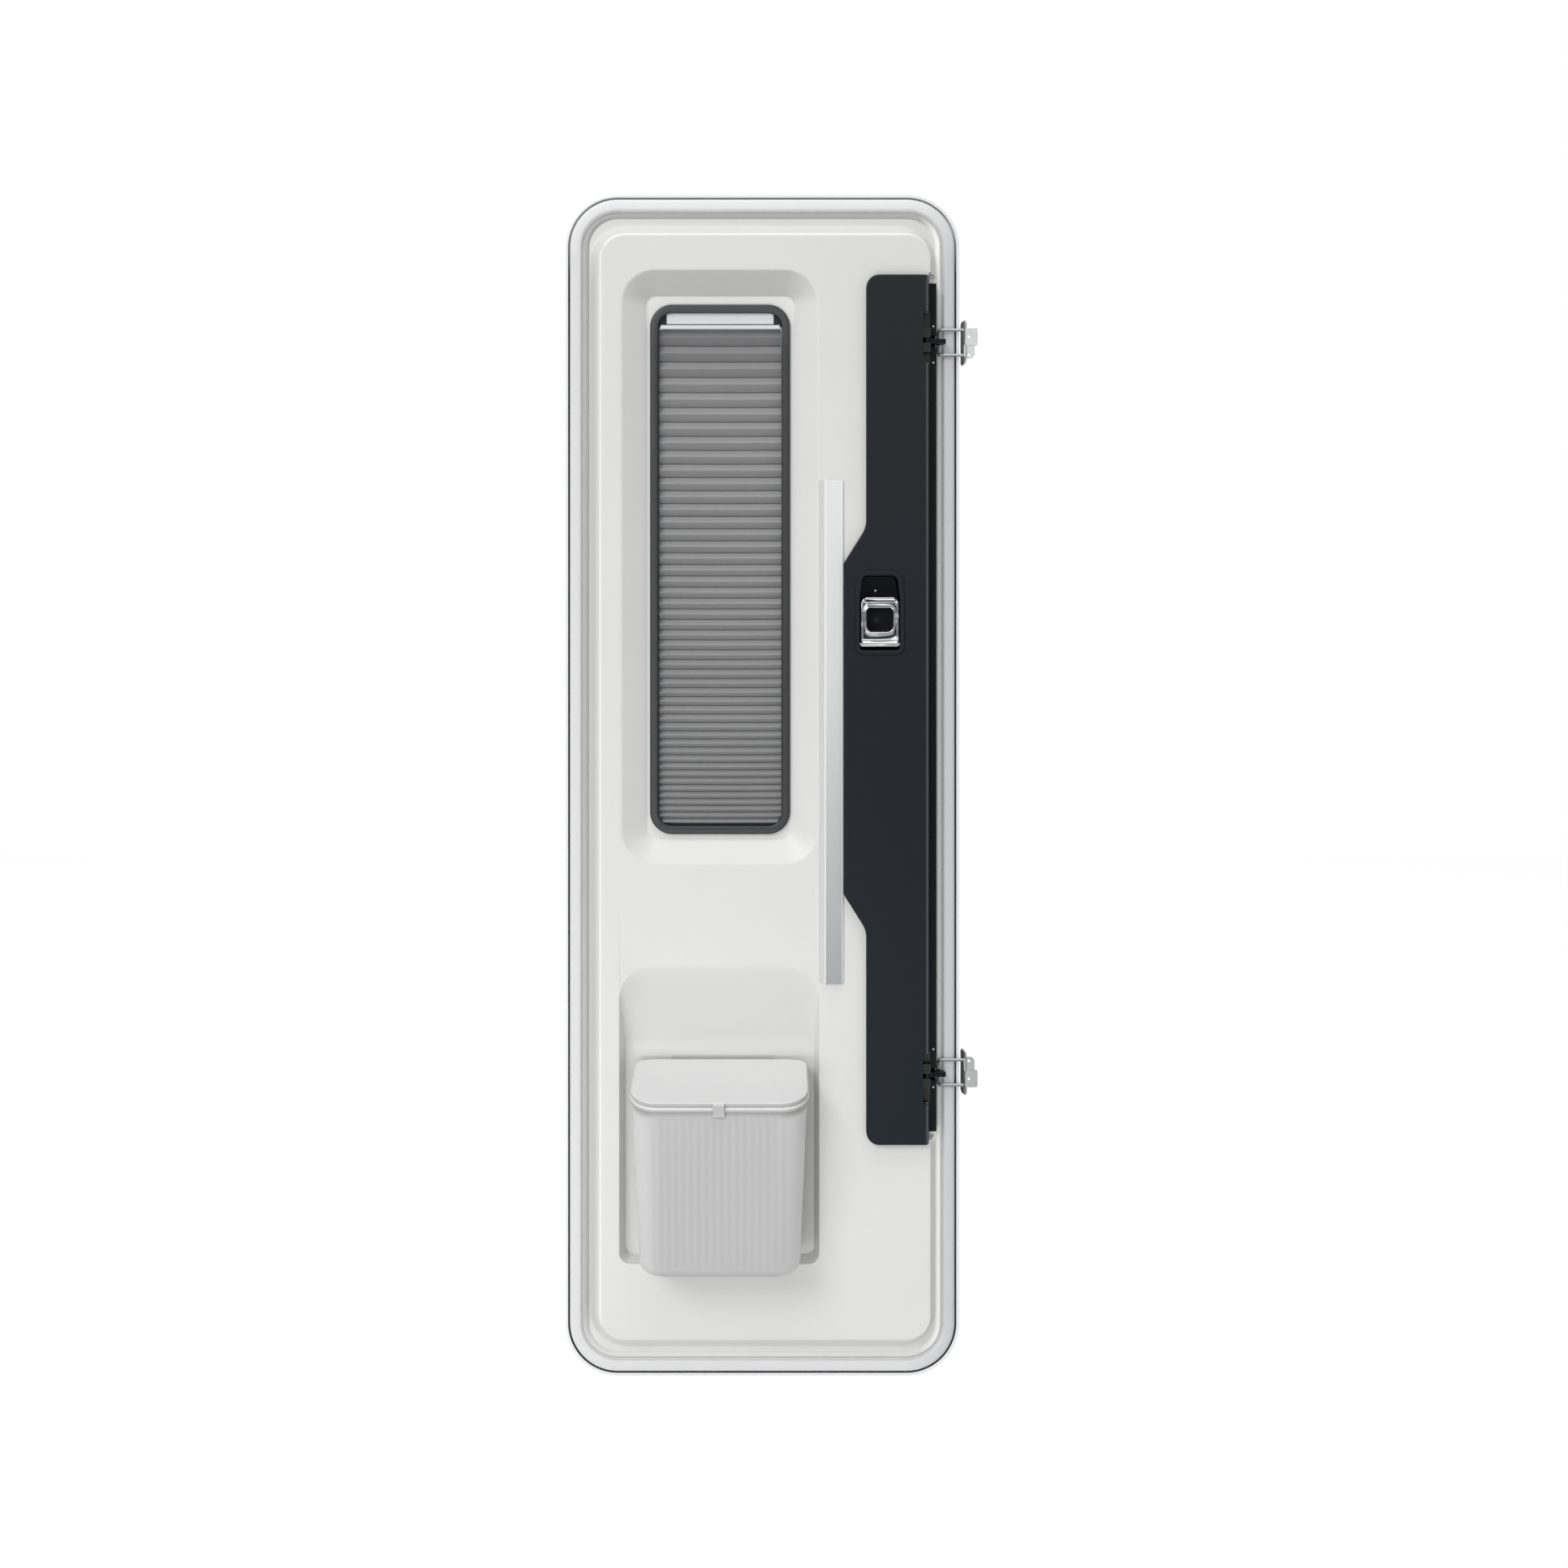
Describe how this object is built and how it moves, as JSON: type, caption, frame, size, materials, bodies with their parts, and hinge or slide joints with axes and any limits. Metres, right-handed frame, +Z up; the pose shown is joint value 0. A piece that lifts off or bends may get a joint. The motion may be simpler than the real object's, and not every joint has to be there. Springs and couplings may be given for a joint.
{
  "type": "caravan entry door leaf",
  "caption": "Caravan entry door leaf seen from the living side, with window and pleated blind, waste bin with lid, light strip, chrome handle and claw latches",
  "frame": {"origin": "hinge side face of the edge profile, in the middle of its depth and half way up the leaf", "axes": "+X from the hinge side to the lock side, +Y to the outside of the vehicle, +Z up"},
  "size_m": [0.627, 0.1618, 1.8],
  "materials": {
    "outer_skin_paint": "satin",
    "profile_paint": "satin",
    "seal_rubber": "matt",
    "white_moulding": "fine grain",
    "white_trim": "satin",
    "pane_acrylic": "tinted gloss",
    "black_frame": "fine ribbed",
    "blind_white": "satin",
    "blind_black": "matt",
    "blind_cloth": "pleated",
    "cover_plastic": "fine grain",
    "rail_plastic": "matt",
    "latch_plastic": "matt",
    "claw_steel": "dark zinc",
    "pin_steel": "polished",
    "striker_zinc": "yellow zinc",
    "handle_chrome": "mirror",
    "strip_diffuser": "frosted",
    "hanger_steel": "satin",
    "bin_plastic": "ribbed",
    "lid_plastic": "satin",
    "outer_plastic": "fine grain",
    "barrel_chrome": "polished"
  },
  "bodies": {
    "leaf": {"outer_skin": "outer_skin_paint", "edge_profile": "profile_paint", "rim_seal": "seal_rubber", "panel_bead": "white_trim", "inner_panel": "white_moulding", "window_pane": "pane_acrylic", "window_frame_inner": "black_frame", "window_frame_outer": "black_frame", "blind_cassette": "blind_white", "blind_end_caps": "blind_black", "blind_rail": "blind_white", "blind_pleats": "blind_cloth", "lock_cover": "cover_plastic", "lock_rail": "rail_plastic", "upper_latch_housing": "latch_plastic", "lower_latch_housing": "latch_plastic", "upper_claw_pin": "pin_steel", "lower_claw_pin": "pin_steel", "upper_striker_loop": "striker_zinc", "lower_striker_loop": "striker_zinc", "upper_striker_bracket": "striker_zinc", "lower_striker_bracket": "striker_zinc", "handle_cup": "cover_plastic", "handle_pin": "pin_steel", "light_strip": "strip_diffuser", "bin_hanger": "hanger_steel", "outer_handle_plate": "outer_plastic", "outer_handle_flap": "outer_plastic", "lock_barrel": "barrel_chrome"},
    "inner_handle": {"inner_handle": "handle_chrome"},
    "upper_claw": {"upper_claw": "claw_steel"},
    "lower_claw": {"lower_claw": "claw_steel"},
    "bin": {"bin_body": "bin_plastic", "bin_lid_pin": "pin_steel"},
    "bin_lid": {"bin_lid": "lid_plastic", "bin_clasp": "lid_plastic"}
  },
  "joints": [
    {"name": "handle_hinge", "type": "hinge", "parent": "leaf", "child": "inner_handle", "pos_m": [0.47715, -0.041, 0.215], "axis": [1, 0, 0], "range_deg": [0, 35], "stiffness_Nm_per_rad": 0.4},
    {"name": "upper_claw_hinge", "type": "hinge", "parent": "leaf", "child": "upper_claw", "pos_m": [0.5495, -0.033, 0.6735], "axis": [0, 0, -1], "range_deg": [0, 60]},
    {"name": "lower_claw_hinge", "type": "hinge", "parent": "leaf", "child": "lower_claw", "pos_m": [0.5495, -0.033, -0.4358], "axis": [0, 0, -1], "range_deg": [0, 60]},
    {"name": "bin_lift", "type": "slide", "parent": "leaf", "child": "bin", "axis": [0, 0, 1], "range_m": [0, 0.04]},
    {"name": "bin_lid_hinge", "type": "hinge", "parent": "bin", "child": "bin_lid", "pos_m": [0.23765, -0.01485, -0.4206], "axis": [-1, 0, 0], "range_deg": [0, 85]}
  ],
  "couplings": [
    {"joint": "upper_claw_hinge", "follows": "handle_hinge", "ratio": 1.7143},
    {"joint": "lower_claw_hinge", "follows": "handle_hinge", "ratio": 1.7143}
  ]
}
